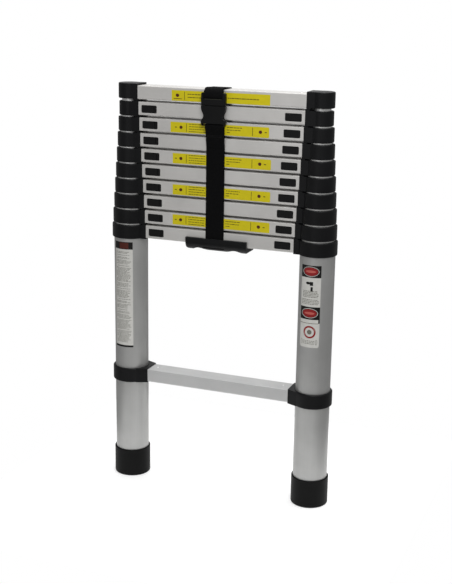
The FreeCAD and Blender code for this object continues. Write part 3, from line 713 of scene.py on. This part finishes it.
def top_label_marks(ink, dark_red, start, end, centre, chance):
    """A spot over a bar, a rule, two lines of bars, then one line of bars past the strap."""
    web_low, web_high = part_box("strap_front")
    dark_red.disc(start + 12 * MM, centre + 0.5 * MM, 3.6 * MM, 3.2 * MM, *INK_1)
    dark_red.block(start + 4 * MM, start + 21 * MM, centre - 6.4 * MM, centre - 5.2 * MM, *INK_1)
    ink.block(start + 26 * MM, start + 27 * MM, centre - RULE_HALF, centre + RULE_HALF, *INK_1)
    for up in (3.4, -2.4):
        ink.bars(chance, start + 33 * MM, web_low.x - 3 * MM, centre + up * MM, 1.5 * MM, *INK_1)
    ink.bars(chance, web_high.x + 4 * MM, end - 22 * MM, centre - 0.2 * MM, 1.7 * MM, *INK_1)


def label_marks(ink, dark_red, centre, chance):
    """A dash, a spot and a rule near each end, with lines of bars between them and the strap."""
    web_low, web_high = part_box("strap_front")
    for dash in (-91 * MM, 91 * MM):
        ink.block(dash, dash + 4 * MM, centre - 0.7 * MM, centre + 0.9 * MM, *INK_1)
    for rule in (-67.6 * MM, 66.4 * MM):
        ink.block(rule, rule + 1 * MM, centre - RULE_HALF, centre + RULE_HALF, *INK_1)
    dark_red.disc(-78.5 * MM, centre + 0.2 * MM, 3.3 * MM, 3.1 * MM, *INK_1)
    dark_red.disc(82.5 * MM, centre + 0.2 * MM, 3.4 * MM, 3.2 * MM, *INK_1)
    for up in (7.2, 2.5, -2.2, -6.9):
        ink.bars(chance, -62 * MM, web_low.x - 2 * MM, centre + up * MM, 1.2 * MM, *INK_1)
    for up, reach in ((5.4, 46), (0.6, 43), (-4.2, 24)):
        ink.bars(chance, web_high.x + 3 * MM, reach * MM, centre + up * MM, 1.3 * MM, *INK_1)


def stile_sheet(side):
    """Empty sheet round one of the base tubes."""
    low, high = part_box("tubes_01")
    radius = (high.y - low.y) / 2
    return Sheet(side * (high.x - radius), 0.0, radius)


def left_stile_label(chance):
    """Pale label with a dark header, fine grey print and a dark foot line."""
    left, right = STILE_LABEL_LEFT - 1.2 * MM, STILE_LABEL_RIGHT
    low, high = 281.5 * MM, 500.0 * MM
    white, black, grey, red = (stile_sheet(-1) for _ in range(4))
    white.block(left, right, low, high, 0.0, VINYL)
    black.block(left, right, 485.2 * MM, high, *INK_1)
    black.block(left, right, low, low + 4.1 * MM, *INK_1)
    red.block(-10 * MM, 9.6 * MM, 486.4 * MM, 498.8 * MM, *INK_2)
    grey.block(left + 2.4 * MM, left + 2.9 * MM, 289 * MM, 481 * MM, *INK_1)
    up = 479.5 * MM
    while up > 292 * MM:
        indent = chance.choice((0.0, 0.0, 0.0, 4.0)) * MM
        reach = chance.uniform(-9.0, 0.0) * MM
        grey.bars(chance, left + 5 * MM + indent, right - 3 * MM + reach, up, 0.95 * MM, *INK_1,
                  shortest=1.6 * MM, longest=6.0 * MM)
        up -= chance.choice((2.3, 2.3, 2.3, 4.2)) * MM
    white.finish("left_stile_label", "white", "base", "label_white")
    black.finish("left_stile_label_black", "black", "base", "label_black")
    grey.finish("left_stile_label_print", "grey", "base", "label_black")
    red.finish("left_stile_label_red", "maroon", "base", "label_red")


def right_stile_label(chance):
    """Pale label with two dark headers with ovals, print, and a plain ring."""
    left, right = STILE_LABEL_LEFT, STILE_LABEL_RIGHT
    middle = (left + right) / 2
    low, high = 331.5 * MM, 491.8 * MM
    corner = 3.5 * MM
    white, black, grey, red, pale, glow = (stile_sheet(1) for _ in range(6))

    def foot(across):
        rest = corner - min(across - left, right - across)
        if rest <= 0.0:
            return low
        return low + corner - math.sqrt(max(corner * corner - rest * rest, 0.0))

    white.slab(left, right, foot, lambda across: high, 0.0, VINYL)
    for header_low, header_high in ((468.4, 491.8), (386.8, 411.6)):
        black.block(left, right, header_low * MM, header_high * MM, *INK_1)
        centre = (header_low + header_high) / 2 * MM
        pale.ring(middle, centre, 16.6 * MM, 9.6 * MM, 0.9 * MM, *INK_2)
        red.disc(middle, centre, 14.6 * MM, 8.0 * MM, *INK_2)
        glow.disc(middle, centre, 10.4 * MM, 2.4 * MM, *INK_3)
    # Tail and underline of the lower header.
    black.block(right - 2.6 * MM, right, 379.6 * MM, 386.8 * MM, *INK_1)
    grey.block(left, right - 2.6 * MM, 378.8 * MM, 379.9 * MM, *INK_1)
    # Plain shapes in place of a sign.
    black.disc(middle - 4.5 * MM, 457.5 * MM, 4.6 * MM, 2.6 * MM, *INK_1)
    black.block(middle - 1.0 * MM, middle + 5.6 * MM, 453.0 * MM, 460.4 * MM, *INK_1)
    black.block(middle + 0.8 * MM, middle + 5.2 * MM, 441.5 * MM, 450.5 * MM, *INK_1)
    # Two blocks of print.
    for up in (442.0, 439.2, 436.4, 433.6, 430.8):
        grey.bars(chance, left + 5 * MM, right - 4 * MM, up * MM, 1.4 * MM, *INK_1, longest=5 * MM)
    for up in (425.6, 422.8, 420.0, 417.2):
        grey.bars(chance, left + 3 * MM, right - 3 * MM, up * MM, 1.3 * MM, *INK_1, longest=5 * MM)
    # Ring with a spot, then three short lines between two small rings.
    red.ring(middle + 1.2 * MM, 362.0 * MM, 12.4 * MM, 12.4 * MM, 3.4 * MM, *INK_1)
    grey.disc(middle + 1.2 * MM, 362.0 * MM, 4.6 * MM, 4.6 * MM, *INK_1)
    for up in (344.6, 341.8, 339.0):
        grey.bars(chance, left + 9 * MM, right - 9 * MM, up * MM, 1.2 * MM, *INK_1, longest=4 * MM)
    for side in (-1, 1):
        grey.ring(middle + side * 15.0 * MM, 342.2 * MM, 2.0 * MM, 5.2 * MM, 0.7 * MM, *INK_1)
    white.finish("right_stile_label", "white", "base", "label_white")
    black.finish("right_stile_label_black", "black", "base", "label_black")
    grey.finish("right_stile_label_print", "grey", "base", "label_black")
    red.finish("right_stile_label_red", "red", "base", "label_red")
    pale.finish("right_stile_label_outline", "white", "base", "label_white")
    glow.finish("right_stile_label_light_red", "pink", "base", "label_red")


def make_labels():
    """Printed vinyl on five rungs and both base tubes."""
    chance = random.Random(41)
    for section, start, end, lift in RUNG_LABELS:
        rung_label(section, start * MM, end * MM, lift * MM, chance)
    left_stile_label(chance)
    right_stile_label(chance)


make_camera()
make_materials()
make_studio()
finish_cad_nodes()
make_straps()
add_painted_highlight_bead()
make_labels()
